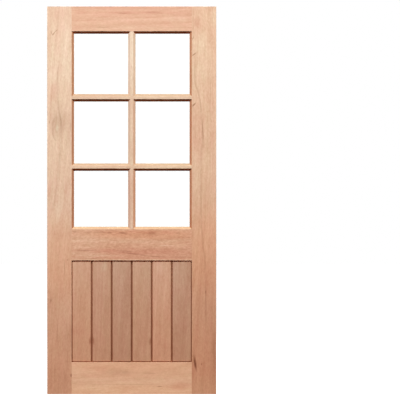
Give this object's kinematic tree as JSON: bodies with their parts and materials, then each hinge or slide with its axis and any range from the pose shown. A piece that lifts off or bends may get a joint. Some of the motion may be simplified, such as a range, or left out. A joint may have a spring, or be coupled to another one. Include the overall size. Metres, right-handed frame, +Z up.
{
  "type": "half glazed door",
  "caption": "Half glazed hardwood door leaf: moulded lights over an upright boarded lower panel, joined with hidden tenons.",
  "frame": {"origin": "foot of the hinge edge, in the middle of the thickness: the outer edge of the left stile seen from the front", "axes": "+X from the hinge edge to the lock edge, +Y from the front face to the back face, +Z up"},
  "size_m": [0.864, 0.044, 1.981],
  "materials": {
    "hardwood": "bare, sanded",
    "bead_hardwood": "bare, sanded",
    "clear_glass": "clear"
  },
  "bodies": {
    "root": {"left_stile": "hardwood", "right_stile": "hardwood", "top_rail": "hardwood", "middle_rail": "hardwood", "bottom_rail": "hardwood", "upright_glazing_bar": "hardwood", "lower_glazing_bar": "hardwood", "upper_glazing_bar": "hardwood", "board_1": "hardwood", "board_2": "hardwood", "board_3": "hardwood", "board_4": "hardwood", "board_5": "hardwood", "board_6": "hardwood", "bead_lower_left_left": "bead_hardwood", "bead_lower_left_right": "bead_hardwood", "bead_lower_left_bottom": "bead_hardwood", "bead_lower_left_top": "bead_hardwood", "bead_lower_right_left": "bead_hardwood", "bead_lower_right_right": "bead_hardwood", "bead_lower_right_bottom": "bead_hardwood", "bead_lower_right_top": "bead_hardwood", "bead_middle_left_left": "bead_hardwood", "bead_middle_left_right": "bead_hardwood", "bead_middle_left_bottom": "bead_hardwood", "bead_middle_left_top": "bead_hardwood", "bead_middle_right_left": "bead_hardwood", "bead_middle_right_right": "bead_hardwood", "bead_middle_right_bottom": "bead_hardwood", "bead_middle_right_top": "bead_hardwood", "bead_upper_left_left": "bead_hardwood", "bead_upper_left_right": "bead_hardwood", "bead_upper_left_bottom": "bead_hardwood", "bead_upper_left_top": "bead_hardwood", "bead_upper_right_left": "bead_hardwood", "bead_upper_right_right": "bead_hardwood", "bead_upper_right_bottom": "bead_hardwood", "bead_upper_right_top": "bead_hardwood", "pane_lower_left": "clear_glass", "pane_lower_right": "clear_glass", "pane_middle_left": "clear_glass", "pane_middle_right": "clear_glass", "pane_upper_left": "clear_glass", "pane_upper_right": "clear_glass"}
  },
  "joints": []
}
